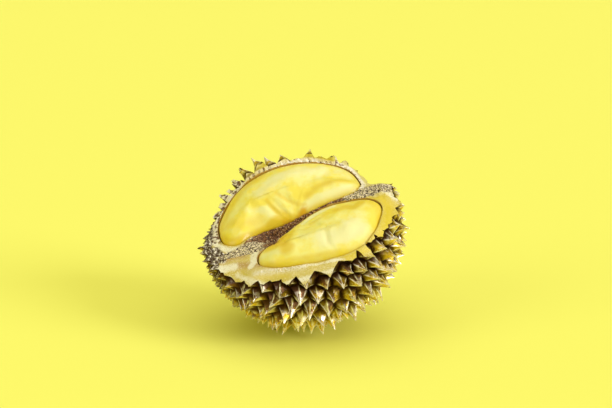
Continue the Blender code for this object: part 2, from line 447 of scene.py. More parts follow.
def groove_share(u, v):
    """1 in the middle of the dip between the chambers, and 0 away from it."""
    middle = ramp(u, *GROOVE_START) * (1 - ramp(u, *GROOVE_FADE))
    return middle * np.exp(-(((v - GROOVE_PLACE) / GROOVE_WIDTH) ** 2))


def rim_level(u, v, groove=GROOVE_DEPTH):
    """Height w of the cut husk, before its lips and its roughness, for numbers or arrays."""
    arch = FAR_RIM_RISE - FAR_RIM_ARCH * (u - FAR_RIM_TOP) ** 2
    level = RIM_LEVEL + np.maximum(v, 0.0) / BODY_RADIUS * arch
    level = level - groove * groove_share(u, v)
    level = level - NOTCH_DEPTH * ramp(u, *NOTCH_START) * ramp(v, *NOTCH_SIDE)
    return level - SHELF_DROP * (1 - ramp(u, *SHELF_FADE)) * ramp(-v, *SHELF_SIDE)


print("rim, mm:", [round(1000 * float(rim_level(0.0, v * MM)), 1) for v in (-80, -8, 80)])

# %% Where the thorns stand
THORN_COUNT = 550
POLE_CROWDING = 0.2
BLOSSOM_CROWDING = 0.1
SITE_SCATTER = 0.13
THORN_SEED = 7
GOLDEN_ANGLE = math.pi * (3 - math.sqrt(5))
RIM_ROW_REACH = 8 * MM
RIM_ROW_SPREAD = 0.2
RIM_ROW_DROP = 1.5 * MM


def above_rim(place):
    """How far a place on the skin is above the level of the cut."""
    return place.z - float(rim_level(place.x, place.y))


def in_rim_row(site):
    """The site, or where it moves to if it is near the far rim, whose thorns stand in a row below it."""
    place = skin_point(site)
    above = above_rim(place)
    if place.y < 0 or abs(above) > RIM_ROW_REACH:
        return site
    drop = above * (1 - RIM_ROW_SPREAD) + RIM_ROW_DROP
    return Matrix.Rotation(-drop / place.y, 3, "X") @ site


def thorn_sites():
    """Unit vectors to the thorns, spread as on a golden spiral about the core and closer at its ends."""
    chance = random.Random(THORN_SEED)
    pitch = math.sqrt(4 * math.pi / THORN_COUNT)
    sites = []
    for i in range(THORN_COUNT):
        along = 1 - 2 * (i + 0.5) / THORN_COUNT
        along += (POLE_CROWDING * along - BLOSSOM_CROWDING) * (1 - along * along)
        ring = math.sqrt(1 - along * along)
        turn = i * GOLDEN_ANGLE
        site = Vector((along, ring * math.cos(turn), ring * math.sin(turn)))
        nudge = Vector([chance.uniform(-1, 1) for _ in range(3)])
        sites.append(in_rim_row((site + nudge * SITE_SCATTER * pitch).normalized()))
    return sites


def cells_between(sites):
    """Corners and faces of the cells round the sites, one face for each site, in the sites' order."""
    hull = bmesh.new()
    for site in sites:
        hull.verts.new(site)
    hull.verts.index_update()
    bmesh.ops.convex_hull(hull, input=hull.verts[:])
    hull.faces.index_update()
    hull.verts.ensure_lookup_table()
    corners = [face.calc_center_median().normalized() for face in hull.faces]
    cells = []
    for vert in hull.verts:
        side = vert.co.orthogonal().normalized()
        other = vert.co.cross(side)

        def bearing(face, side=side, other=other):
            centre = face.calc_center_median()
            return math.atan2(centre.dot(other), centre.dot(side))

        cells.append([face.index for face in sorted(vert.link_faces, key=bearing)])
    hull.free()
    return corners, cells


# %% The cells, with what each thorn needs
THORN_SLENDERNESS = 0.95
END_THORN_SHARE = 0.66
END_THORN_SPAN = mm(42, 92)
HEIGHT_SPREAD = 0.2
LEAN_SPREAD = 0.2
RIM_ROW_GROWTH = 1.3
RIM_ROW_LEFT_GROWTH = 1.5
RIM_ROW_LEFT_SPAN = mm(15, 50)
RIM_ROW_LEFT_END = mm(72, 88)
CUT_THORN_SHARE = 0.1
RIDGE_CHOICES = (0.15, 1.0, 1.0)


def thorn_share(foot):
    """How tall a thorn on that foot is, as a share of what its width gives it."""
    share = 1 - (1 - END_THORN_SHARE) * float(ramp(abs(foot.x), *END_THORN_SPAN))
    row_edge = RIM_ROW_REACH * RIM_ROW_SPREAD
    if foot.y < 0 or above_rim(foot) < -row_edge - RIM_ROW_DROP:
        return share
    if above_rim(foot) >= row_edge:
        return share * CUT_THORN_SHARE
    left = float(ramp(-foot.x, *RIM_ROW_LEFT_SPAN) * (1 - ramp(-foot.x, *RIM_ROW_LEFT_END)))
    return share * RIM_ROW_GROWTH * (1 + RIM_ROW_LEFT_GROWTH * left)


def skin_cells():
    """The skin as one face for each thorn, each side of it halved by a point between its corners.

    Each face stores its seat, the middle of the thorn's foot, its rise, straight out of the skin, and its
    sway, by which the tip leans. Each point stores ridge: 1 at a corner, where a thorn's edge starts, and
    0 between corners.
    """
    sites = thorn_sites()
    corners, cells = cells_between(sites)
    chance = random.Random(THORN_SEED + 1)
    bm = bmesh.new()
    ridge = bm.verts.layers.float.new("ridge")
    seat, rise, sway = (bm.faces.layers.float_vector.new(name) for name in ("seat", "rise", "sway"))
    verts = [bm.verts.new(skin_point(corner)) for corner in corners]
    for cell in cells:
        bm.faces.new([verts[i] for i in cell])
    for face, site in zip(bm.faces, sites):
        foot = skin_point(site)
        out = foot.normalized()
        height = THORN_SLENDERNESS * math.sqrt(face.calc_area())
        height *= (1 + HEIGHT_SPREAD * chance.uniform(-1, 1)) * thorn_share(foot)
        lean = Vector([chance.uniform(-1, 1) for _ in range(3)]) * LEAN_SPREAD
        face[seat] = foot
        face[rise] = out * height
        face[sway] = ((out + lean).normalized() - out) * height
    for vert in bm.verts:
        vert[ridge] = chance.choice(RIDGE_CHOICES)
    for edge in bm.edges[:]:
        _, middle = bmesh.utils.edge_split(edge, edge.verts[0], 0.5)
        middle[ridge] = 0.0
    return mesh_from(bm, "skin_cells")


cells_mesh = skin_cells()
print("cells:", len(cells_mesh.polygons), "points:", len(cells_mesh.vertices))

# %% [markdown]
# ## Growing the thorns with Geometry Nodes
#
# Every thorn is the same idea on a different foot, so one tree of nodes grows them all. It cuts the cells
# apart, and remembers on each point where it lies on the foot's outline and which seat, rise and sway it
# belongs to. Then it extrudes each cell ring by ring, and puts each new ring where a thorn is that high:
# the outline drawn in towards the seat, by a curve that makes the sides hollow, carried up the rise and
# swayed more and more towards the tip, so that the thorn bends. Points between the corners are drawn in
# further, which gives a thorn its sharp edges, and a little noise keeps any two from being alike. Each
# point also stores its height and upper, which says how far its side of the thorn faces up. At the end
# the cells are merged again along their feet, into one closed skin.

# %% The thorn tree
THORN_RINGS = (0.07, 0.22, 0.43, 0.7, 1.0)
NARROWING = 1.3
FLUTING = 0.17
UNEVENNESS = 0.6
UNEVEN_SCALE = 260.0
TIP_WIDTH = 0.035
FREE_OF_FOOT = 0.4
WELD = 0.01 * MM
UP_IN_FRUIT = tuple(FRUIT_AXES.to_3x3().transposed() @ Vector((0, 0, 1)))
TREE_SOCKETS = (
    ("Cells", "INPUT", "Geometry"),
    ("Narrowing", "INPUT", "Float"),
    ("Fluting", "INPUT", "Float"),
    ("Unevenness", "INPUT", "Float"),
    ("Tip width", "INPUT", "Float"),
    ("Finish", "INPUT", "Material"),
    ("Thorns", "OUTPUT", "Geometry"),
)


def remembered(nodes, mesh, name, value, kind, where=None):
    """The mesh with a value stored on its points under that name."""
    inputs = {"Geometry": mesh, "Name": name, "Value": value}
    if where is not None:
        inputs["Selection"] = where
    return nodes.node("GeometryNodeStoreNamedAttribute", {"data_type": kind, "domain": "POINT"}, inputs)


def recalled(nodes, name, kind="FLOAT_VECTOR"):
    """A value stored on the mesh."""
    return nodes.node("GeometryNodeInputNamedAttribute", {"data_type": kind}, {"Name": name})


def thorn_tree():
    """The Geometry Nodes tree that grows one thorn on each face."""
    tree = bpy.data.node_groups.new("grow_thorns", "GeometryNodeTree")
    for name, way, kind in TREE_SOCKETS:
        tree.interface.new_socket(name, in_out=way, socket_type="NodeSocket" + kind)
    nodes = Nodes(tree)
    given = nodes.node("NodeGroupInput")
    apart = nodes.node("GeometryNodeSplitEdges", None, {"Mesh": given})
    mesh = remembered(nodes, apart, "outline", nodes.node("GeometryNodeInputPosition"), "FLOAT_VECTOR")
    for name in ("seat", "rise", "sway"):
        mesh = remembered(nodes, mesh, "own_" + name, recalled(nodes, name), "FLOAT_VECTOR")
    seat, rise, sway = (recalled(nodes, "own_" + name) for name in ("seat", "rise", "sway"))
    outline = recalled(nodes, "outline")
    arm = outline - seat
    facing = nodes.node("ShaderNodeVectorMath", {"operation": "NORMALIZE"}, {0: arm})
    ways = {0: facing, 1: UP_IN_FRUIT}
    upper = nodes.node("ShaderNodeVectorMath", {"operation": "DOT_PRODUCT"}, ways, output=1)
    # upper: how far a side of a thorn faces up, which the gold finish uses for painted shade
    mesh = remembered(nodes, mesh, "upper", upper, "FLOAT")
    hollow = 1 - recalled(nodes, "ridge", "FLOAT")
    top = True
    for height in THORN_RINGS:
        inputs = {"Mesh": mesh, "Selection": top, "Offset Scale": 0.0, "Individual": True}
        mesh = nodes.node("GeometryNodeExtrudeMesh", {"mode": "FACES"}, inputs)
        top = mesh.other("Top")
        width = (1 - height) ** given.other("Narrowing")
        width = width + given.other("Tip width") * height
        free = min(height / FREE_OF_FOOT, 1.0)
        width = width * (1 - hollow * (given.other("Fluting") * free))
        inputs = {"Vector": outline + rise * (height * 0.5), "Scale": UNEVEN_SCALE, "Detail": 0.0}
        chance = nodes.node("ShaderNodeTexNoise", None, inputs) - 0.5
        width = width * (1 + chance * (given.other("Unevenness") * free))
        where = seat + arm * width + rise * height + sway * (height * height)
        inputs = {"Geometry": mesh, "Selection": top, "Position": where}
        mesh = nodes.node("GeometryNodeSetPosition", None, inputs)
        mesh = remembered(nodes, mesh, "height", height, "FLOAT", top)
    mesh = nodes.node("GeometryNodeMergeByDistance", None, {"Geometry": mesh, "Distance": WELD})
    mesh = nodes.node("GeometryNodeRealizeInstances", None, {"Geometry": mesh})
    mesh = nodes.node("GeometryNodeSetMaterial", None, {"Geometry": mesh, "Material": given.other("Finish")})
    leave = tree.nodes.new("NodeGroupOutput")
    tree.links.new(mesh.socket, leave.inputs["Thorns"])
    return tree


def grown(name, mesh, tree, **inputs):
    """A plain mesh: what the tree makes of the given mesh, with its named inputs set."""
    source = linked(name, mesh)
    modifier = source.modifiers.new(name, "NODES")
    modifier.node_group = tree
    for item in tree.interface.items_tree:
        value = inputs.get(item.name.replace(" ", "_")) if item.in_out == "INPUT" else None
        if value is not None:
            modifier[item.identifier] = value
    return made_plain(source)


gold_skin = Paint("gold_skin")
thorns_mesh = grown(
    "thorny_skin",
    cells_mesh,
    thorn_tree(),
    Narrowing=NARROWING,
    Fluting=FLUTING,
    Unevenness=UNEVENNESS,
    Tip_width=TIP_WIDTH,
    Finish=gold_skin.material,
)
print("thorny skin:", len(thorns_mesh.polygons), "faces")

# %% [markdown]
# ## The pods' outlines
#
# Each pod fills its chamber, so one closed line serves both: the pod's widest line, looking into the
# opening. It is drawn through a few points by a Catmull-Rom curve, which passes through each of them.
# A spine along the middle of the pod gives every point a direction inwards, so that any ring of the pod
# is the widest line drawn in by a share of its width.

# %% Outlines
FAR_POD_LINE = [
    (69, 25), (63, 54), (42, 70), (8, 78), (-30, 78), (-60, 67), (-80, 40), (-80, 5), (-67, -7), (-52, 0),
    (-36, 4), (-19, 4), (-3, 5), (16, 6), (38, 7), (61, 11),
]
NEAR_POD_LINE = [
    (78, -32), (71, -10), (46, 0), (26, 2), (10, 1), (-3, -2), (-14, -7), (-24, -14), (-31, -26), (-41, -28),
    (-50, -36), (-50, -49), (-36, -61), (-8, -71), (30, -77), (57, -67),
]
FAR_POD_SPINE = mm(-42, 30, 37)
NEAR_POD_SPINE = mm(-22, 38, -42)
OUTLINE_POINTS = 288
TINY = 1e-12


def smooth_loop(points, count):
    """Points spaced evenly in step along a closed smooth curve through the given ones, in millimetres."""
    given = np.array(points, float) * MM
    place = np.arange(count) / count * len(given)
    whole = place.astype(int)
    t = (place - whole)[:, None]
    a, b, c, d = (given[(whole + step) % len(given)] for step in (-1, 0, 1, 2))
    bend = 2 * a - 5 * b + 4 * c - d
    twist = 3 * b - a - 3 * c + d
    return b + 0.5 * ((c - a) * t + bend * t**2 + twist * t**3)


def arms_of(loop, spine):
    """For each point of the loop, the nearest point of the spine and the way from there to the loop."""
    first, last, across = spine
    core = np.stack([np.clip(loop[:, 0], first, last), np.full(len(loop), across)], axis=1)
    return core, loop - core


def to_segment(place, start, end):
    """Distance of places from a straight segment, and how far along it the nearest point is, from 0 to 1."""
    step = end - start
    share = np.clip((place - start) @ step / (step @ step), 0.0, 1.0)
    gap = place - start - share[:, None] * step
    return np.hypot(gap[:, 0], gap[:, 1]), share


def distance_outside(u, v, loop):
    """Distance from the loop, less than 0 inside it, for arrays of places."""
    place = np.stack([np.ravel(u), np.ravel(v)], axis=1)
    nearest = np.full(len(place), np.inf)
    inside = np.zeros(len(place), bool)
    for start, end in zip(loop, np.roll(loop, -1, axis=0)):
        nearest = np.minimum(nearest, to_segment(place, start, end)[0])
        crosses = (start[1] > place[:, 1]) != (end[1] > place[:, 1])
        slope = (end[0] - start[0]) / ((end[1] - start[1]) or TINY)
        inside ^= crosses & (place[:, 0] < start[0] + (place[:, 1] - start[1]) * slope)
    return np.where(inside, -nearest, nearest).reshape(np.shape(u))


def distance_to_line(u, v, points):
    """Distance to an open line of points, and how far along it the nearest place is, from 0 to 1."""
    line = np.array(points, float) * MM
    place = np.stack([np.ravel(u), np.ravel(v)], axis=1)
    lengths = np.linalg.norm(np.diff(line, axis=0), axis=1)
    begun = np.concatenate([[0], np.cumsum(lengths)])
    nearest = np.full(len(place), np.inf)
    along = np.zeros(len(place))
    for start, end, done, length in zip(line, line[1:], begun, lengths):
        distance, share = to_segment(place, start, end)
        along = np.where(distance < nearest, (done + share * length) / begun[-1], along)
        nearest = np.minimum(nearest, distance)
    return nearest.reshape(np.shape(u)), along.reshape(np.shape(u))


FAR_LOOP = smooth_loop(FAR_POD_LINE, OUTLINE_POINTS)
NEAR_LOOP = smooth_loop(NEAR_POD_LINE, OUTLINE_POINTS)
print("far pod across, mm:", np.round(np.ptp(FAR_LOOP, axis=0) * 1000, 1))

# %% [markdown]
# ## The cut
#
# The opening is a surface over u and v: the rim's level, with rounded lips where it meets a chamber,
# slow waves as a knife and a thumb leave them, a frayed ridge along the near side, and a crumpled edge
# round the far side. The wall between the chambers has a coarse grain, for there the fibre was torn and
# not cut, and so have the two ends of the fruit. Outside the near chamber the surface falls away towards
# the stalk end, so that its lip faces the eye. Outside the far rim it jumps up, so the thorns there stay
# whole, but for those furthest left. Everything above the surface is taken away by a Boolean.

# %% Where the cut is torn and crumpled
NOISE_REACH = 1.6
GRAIN_LENGTH = 2.0 * MM
GRAIN_SEEDS = (9.4, 5.2)
CRUMPLE_LENGTH = 3.4 * MM
CRUMPLE_SEEDS = (12.3, 1.9)
CRUMPLE_START = mm(0.2, 1.6)
CRUMPLE_SIDE = mm(2, 12)
SHOULDER_SPAN = mm(52, 66)
SHOULDER_GAP = mm(4, 9)
SHOULDER_SMOOTH = 0.9
# Each dab: points (u, v) in millimetres, half-width in millimetres, strength
DARK_END_DABS = [
    ([(-92, 44), (-94, 30), (-97, 11), (-97, -8), (-94, -26)], 6.0, 1.0),
    ([(-90, -3), (-86, -14), (-85, -22)], 5.0, 1.0),
]
KNOB_DABS = [
    ([(80, -4), (92, -7), (99, -14)], 7.0, 1.0),
]
SEPTUM_LINE = [
    (-84, -17), (-70, -19), (-56, -18), (-44, -14), (-30, -11), (-12, -6), (3, -3), (22, 0), (48, 1), (70, 3),
    (96, 1),
]
SEPTUM_EDGE = (0.75, 1.25)
SEPTUM_WIDTHS = ((0.0, 4.0), (0.1, 7.0), (0.2, 14.0), (0.28, 18.0), (0.5, 18.0), (0.7, 8.0), (1.0, 9.0))


def rough(u, v, length, seed):
    """Smooth noise from -1 to 1 over arrays of places, with bumps of that length."""
    places = zip(np.ravel(u).tolist(), np.ravel(v).tolist())
    flat = [noise.noise((x / length, y / length, seed)) for x, y in places]
    return np.array(flat).reshape(np.shape(u)) * NOISE_REACH


def torn_share(u, v):
    """1 where the wall between the chambers is torn and grainy, and 0 on the smooth cut."""
    distance, along = distance_to_line(u, v, SEPTUM_LINE)
    half_width = np.interp(along, *zip(*SEPTUM_WIDTHS)) * MM
    return 1 - ramp(distance, *(half_width * share for share in SEPTUM_EDGE))


def creased(u, v, length, seeds):
    """Noise of that length, from about -1.5 to 1.5, with finer noise of half the length and height on it."""
    seed, finer_seed = seeds
    return rough(u, v, length, seed) + 0.5 * rough(u, v, length / 2, finer_seed)


def grain_of(u, v):
    """The torn fibre's grain."""
    return creased(u, v, GRAIN_LENGTH, GRAIN_SEEDS)


def crumpled_share(u, v, far_gap):
    """1 on the ragged edge outside the far chamber, at that distance from its line, and 0 elsewhere."""
    shoulder = ramp(u, *SHOULDER_SPAN) * ramp(far_gap, *SHOULDER_GAP)
    return ramp(far_gap, *CRUMPLE_START) * ramp(v, *CRUMPLE_SIDE) * (1 - SHOULDER_SMOOTH * shoulder)


def crumple_of(u, v):
    """The ragged edge's folds."""
    return creased(u, v, CRUMPLE_LENGTH, CRUMPLE_SEEDS)


def dabbed(u, v, dabs):
    """How strongly dabs cover arrays of places, from 0 to 1."""
    cover = np.zeros(np.shape(u))
    for line, half_width, strength in dabs:
        distance, _ = distance_to_line(u, v, line)
        cover = np.maximum(cover, strength * np.exp(-((distance / (half_width * MM)) ** 2)))
    return cover


print("torn across the core:", np.round(torn_share(np.zeros(5), np.linspace(-40, 40, 5) * MM), 2))

# %% The height of the cut
FAR_RIM_TURN = math.radians(17)
THORN_ROOM = 15 * MM
THORN_ROOM_EDGE = mm(-2, 3)
THORN_ROOM_FADE = mm(45, 60)
THORN_ROOM_BEGIN = mm(-48, -34)
LIP_ROUND = 2.4 * MM
LIP_FALL = 1.3 * MM
LIP_STEEPNESS = 0.98
WAVE_HEIGHT = 0.7 * MM
WAVE_LENGTH = 17 * MM
WAVE_SEED = 3.1
GRAIN_HEIGHT = 0.9 * MM
CRUMPLE_HEIGHT = 1.2 * MM
CRAGGY_HEIGHT = 1.6 * MM
CRAGGY_LENGTH = 3.0 * MM
CRAGGY_SEED = 4.2
LIP_SLOPE = 6.5 * MM
LIP_SLOPE_START = mm(1, 9)
LIP_SLOPE_SPAN = mm(20, 45)
LIP_SLOPE_SIDE = mm(8, 32)
KNOB_FALL = 5 * MM
KNOB_FALL_SPAN = mm(85, 99)
FRAYED_LINE = [(-57, -59), (-48, -62), (-40, -65), (-33, -67), (-24, -70), (-11, -74)]
FRAYED_RISE = 1.6 * MM
FRAYED_WIDTH = 2.5 * MM
FRAYED_ROUGHNESS = 0.8
FRAYED_LENGTH = 1.9 * MM
FRAYED_SEED = 7.7
FRAYED_ENDS = (0.02, 0.98)


def lip_slope(u, v):
    """How far the cut falls away outside the near chamber at the stalk end, so that its lip faces the eye."""
    outwards = ramp(distance_outside(u, v, NEAR_LOOP), *LIP_SLOPE_START)
    return LIP_SLOPE * outwards * ramp(u, *LIP_SLOPE_SPAN) * ramp(-v, *LIP_SLOPE_SIDE)


def outside_far_rim(u, v):
    """How far a place is outside the skin at the far rim."""
    return v - body_radius(u, FAR_RIM_TURN) * math.cos(FAR_RIM_TURN)


def cut_level(u, v):
    """Height w of the cut surface in all its detail, for arrays of places."""
    level = rim_level(u, v) - lip_slope(u, v) - KNOB_FALL * ramp(u, *KNOB_FALL_SPAN)
    spared = ramp(outside_far_rim(u, v), *THORN_ROOM_EDGE)
    spared *= ramp(u, *THORN_ROOM_BEGIN) * (1 - ramp(u, *THORN_ROOM_FADE))
    level += THORN_ROOM * np.where(v > 0, spared, 0.0)
    for loop in (FAR_LOOP, NEAR_LOOP):
        edge = np.clip(1 - distance_outside(u, v, loop) / LIP_ROUND, 0.0, 1.0)
        level -= LIP_FALL * (1 - np.sqrt(1 - edge**2 * LIP_STEEPNESS))
    level += WAVE_HEIGHT * rough(u, v, WAVE_LENGTH, WAVE_SEED)
    level += GRAIN_HEIGHT * torn_share(u, v) * grain_of(u, v)
    crumpled = crumpled_share(u, v, distance_outside(u, v, FAR_LOOP))
    level += CRUMPLE_HEIGHT * crumpled * crumple_of(u, v)
    craggy = dabbed(u, v, DARK_END_DABS + KNOB_DABS)
    level += CRAGGY_HEIGHT * craggy * rough(u, v, CRAGGY_LENGTH, CRAGGY_SEED)
    fray, along = distance_to_line(u, v, FRAYED_LINE)
    ridge = np.exp(-((fray / FRAYED_WIDTH) ** 2)) * np.sin(np.pi * np.clip(along, *FRAYED_ENDS)) ** 0.5
    return level + FRAYED_RISE * ridge * (1 + FRAYED_ROUGHNESS * rough(u, v, FRAYED_LENGTH, FRAYED_SEED))


print("cut at the middle, mm:", np.round(cut_level(np.zeros(3), np.linspace(-60, 60, 3) * MM) * 1000, 1))

# %% The block that is cut away
CUT_GRID = 0.9 * MM
CUT_REACH = mm(112, 106)
OPENING_TOP = 140 * MM


def cut_block(paint):
    """Everything above the cut surface, as one closed block."""
    across = [np.arange(-reach, reach + CUT_GRID / 2, CUT_GRID) for reach in CUT_REACH]
    u, v = np.meshgrid(*across, indexing="ij")
    rows, columns = u.shape
    low = np.stack([u, v, cut_level(u, v)], axis=-1).reshape(-1, 3)
    number = np.arange(rows * columns).reshape(rows, columns)
    quads = np.stack([number[:-1, :-1], number[:-1, 1:], number[1:, 1:], number[1:, :-1]], axis=-1)
    border = np.concatenate([number[:, 0], number[-1, 1:], number[-2::-1, -1], number[0, -2:0:-1]])
    high = low[border].copy()
    high[:, 2] = OPENING_TOP
    lid = np.arange(len(border)) + rows * columns
    faces = quads.reshape(-1, 4).tolist()
    for here, there, up_here, up_there in zip(border, np.roll(border, -1), lid, np.roll(lid, -1)):
        faces.append([here, there, up_there, up_here])
    faces.append(lid.tolist())
    mesh = bpy.data.meshes.new("cut_block")
    mesh.from_pydata(np.concatenate([low, high]).tolist(), [], [[int(i) for i in face] for face in faces])
    mesh.materials.append(paint.material)
    return mesh


cut_rind = Paint("cut_rind")
block_mesh = cut_block(cut_rind)
print("cut block:", len(block_mesh.polygons), "faces")

# %% [markdown]
# ## Pods and chambers as rings
#
# A pod is a stack of rings between its deep belly and its swollen crown. The chamber round it is the
# same stack, a little larger, with its crown run straight up out of the husk, so that cutting it away
# leaves an open bowl with an even gap round the pod.

# %% The pod's body
POD_SINK = 3.5 * MM
POD_CROWN = 12 * MM
POD_DEPTH = 40 * MM
POD_GROOVE_SHARE = 0.65
BELLY_FULLNESS = 0.8
BELLY_RINGS = 12
CROWN_RINGS = 56
CHAMBER_GAP = 1.0 * MM
CHAMBER_TOP = 60 * MM


def pod_level(place):
    """Height w of the pod's widest line at places on it, and of its middle at places on its spine."""
    return rim_level(place[:, 0], place[:, 1], GROOVE_DEPTH * POD_GROOVE_SHARE) - POD_SINK


def pod_ring(loop, spine, share, grow=0.0):
    """The pod's widest line, drawn in towards its spine to that share and grown outwards."""
    core, arm = arms_of(loop, spine)
    outwards = arm / np.linalg.norm(arm, axis=1, keepdims=True) * grow
    level = pod_level(loop) * share + pod_level(core) * (1 - share)
    return np.column_stack([core + arm * share + outwards, level])


def belly_rings(loop, spine, grow=0.0):
    """Rings from the pod's deepest to its widest."""
    rings = []
    for k in range(BELLY_RINGS, -1, -1):
        angle = k / (BELLY_RINGS + 0.5) * math.pi / 2
        ring = pod_ring(loop, spine, math.cos(angle) ** BELLY_FULLNESS, grow)
        ring[:, 2] -= (POD_DEPTH + grow) * math.sin(angle)
        rings.append(ring)
    return rings


def mesh_of_rings(name, rings):
    """A closed mesh of rings of the same number of points, with its first and last ring filled."""
    count = len(rings[0])
    faces = []
    for ring in range(len(rings) - 1):
        for k in range(count):
            here = ring * count + k
            there = ring * count + (k + 1) % count
            faces.append((here, there, there + count, here + count))
    faces.append(tuple(range(count))[::-1])
    faces.append(tuple(range((len(rings) - 1) * count, len(rings) * count)))
    mesh = bpy.data.meshes.new(name)
    mesh.from_pydata(np.concatenate(rings).tolist(), [], faces)
    return mesh


def chamber_mesh(name, loop, spine, paint):
    """What is taken out of the husk for a pod."""
    rings = belly_rings(loop, spine, CHAMBER_GAP)
    top = rings[-1].copy()
    top[:, 2] = CHAMBER_TOP
    mesh = mesh_of_rings(name, [*rings, top])
    mesh.materials.append(paint.material)
    return mesh


chamber_lining = Paint("chamber_lining")
chambers = [
    chamber_mesh("far_chamber", FAR_LOOP, FAR_POD_SPINE, chamber_lining),
    chamber_mesh("near_chamber", NEAR_LOOP, NEAR_POD_SPINE, chamber_lining),
]
print("chamber faces:", [len(mesh.polygons) for mesh in chambers])

# %% [markdown]
# ## Cutting the husk
#
# Exact Booleans take the block, the chambers and the floor's space out of the thorny skin, and each cut
# face keeps the finish of the tool that made it. What the thorns' points store is carried over. Points
# that the cuts leave almost together are merged, and bits of thorn that they leave loose in the air are
# dropped. The meshes all stand in the fruit's axes, so the matrix is applied to the result once.

# %% The husk
FLOOR_BLOCK = 400 * MM


def floor_block(paint):
    """The space under the floor, in the fruit's axes."""
    bm = bmesh.new()
    bmesh.ops.create_cube(bm, size=FLOOR_BLOCK, matrix=Matrix.Translation((0, 0, -FLOOR_BLOCK / 2)))
    bmesh.ops.transform(bm, matrix=FRUIT_AXES.inverted(), verts=bm.verts[:])
    return mesh_from(bm, "floor_block", paint)


def carved(name, mesh, tools):
    """A plain mesh: the given one less every tool."""
    body = linked(name, mesh)
    cutters = []
    for tool in tools:
        cutter = linked(tool.name, tool)
        modifier = body.modifiers.new(tool.name, "BOOLEAN")
        modifier.operation = "DIFFERENCE"
        modifier.solver = "EXACT"
        modifier.object = cutter
        modifier.material_mode = "TRANSFER"
        cutters.append(cutter)
    return made_plain(body, *cutters)


husk_mesh = carved("durian_husk", thorns_mesh, [block_mesh, *chambers, floor_block(gold_skin)])
print("husk:", len(husk_mesh.polygons), "faces,", [m.name for m in husk_mesh.materials])

# %% Finishing the husk's mesh
SHARP_ANGLE = math.radians(26)
HUSK_WELD = 0.02 * MM
SPARED_EDGE = mm(-3, 0)
TOOTH_HEIGHT = 9 * MM
LINING_REACH = 20 * MM
# less of the lining's painted shade on the near side of the near chamber
NEAR_LINING_LESS_SHADE = 0.34
NEAR_LINING_SPAN = mm(36, 47)
# On the far side low is raised, so the gold finish paints the thorns there lighter: a painted sheen
FAR_SIDE_SHEEN = 1.2
FAR_SIDE_SHEEN_SPAN = mm(25, 60)
FRAYED_REACH = 4.5 * MM
# Dabs of colour on the cut, each written like the dark-end ones
RIND_DABS = {
    # pale cream at the blossom end, and cream painted highlights there, on the ridge by the near pod's tip,
    # on the knob and along the front edge
    "cream_and_highlight": [
        ([(-90, 14), (-86, 4), (-81, -6), (-75, -12), (-66, -14)], 4.5, 1.0),
        ([(-92, -36), (-84, -36), (-76, -38)], 6.5, 1.0),
        ([(-50, -26), (-54, -33), (-56, -42), (-60, -46)], 3.6, 1.2),
        ([(78, -8), (88, -8), (96, -16)], 4.0, 1.0),
        ([(-11, -74), (0, -77), (14, -80), (27, -83)], 2.4, 0.7),
        (
            [(-74, -50), (-66, -62), (-57, -76), (-45, -84), (-30, -88), (-8, -92), (14, -94), (36, -92)],
            5.0,
            0.75,
        ),
    ],
    "tan_and_crease_shade": [
        ([(-84, -24), (-74, -23), (-64, -26)], 5.5, 0.8),
        ([(-72, -37), (-60, -44), (-49, -49)], 5.0, 0.8),
        # a thin line of painted shade in the crease by the near pod's tip
        ([(-44, -27), (-49, -31), (-52, -40)], 1.4, 1.0),
    ],
    "olive": [
        ([(80, -12), (86, -26), (84, -40), (78, -55), (66, -70)], 8.0, 1.0),
        ([(30, -82), (50, -78), (66, -70)], 4.0, 0.7),
        ([(-30, -78), (-45, -70), (-60, -60)], 5.0, 0.5),
    ],
    # painted shade down in the dip of the torn wall, where the fibre is brown
    "brown": [
        ([(-44, -2), (-30, -2), (-12, 2), (4, 2), (22, 3), (40, 4)], 9.0, 1.0),
        ([(-36, -20), (-28, -16), (-14, -8), (2, -4), (20, 0), (36, 1)], 9.0, 1.0),
        ([(-64, -9), (-50, -6), (-44, -2)], 3.0, 0.9),
    ],
    "dark_end": DARK_END_DABS,
}


def store(mesh, name, values):
    """Stores one number for each point of the mesh."""
    attribute = mesh.attributes.new(name, "FLOAT", "POINT")
    attribute.data.foreach_set("value", np.ascontiguousarray(values, np.float32))


def points_of(mesh):
    """The mesh's points as an array of rows."""
    flat = np.empty(len(mesh.vertices) * 3)
    mesh.vertices.foreach_get("co", flat)
    return flat.reshape(-1, 3)


def drop_crumbs(bm):
    """Deletes each loose part of the mesh but the largest, and says how many there were."""
    parts = []
    seen = set()
    for start in bm.verts:
        if start in seen:
            continue
        part = [start]
        seen.add(start)
        for vert in part:
            fresh = [edge.other_vert(vert) for edge in vert.link_edges]
            fresh = [other for other in fresh if other not in seen]
            seen.update(fresh)
            part.extend(fresh)
        parts.append(part)
    parts.sort(key=len)
    bmesh.ops.delete(bm, geom=[vert for part in parts[:-1] for vert in part], context="VERTS")
    return len(parts) - 1


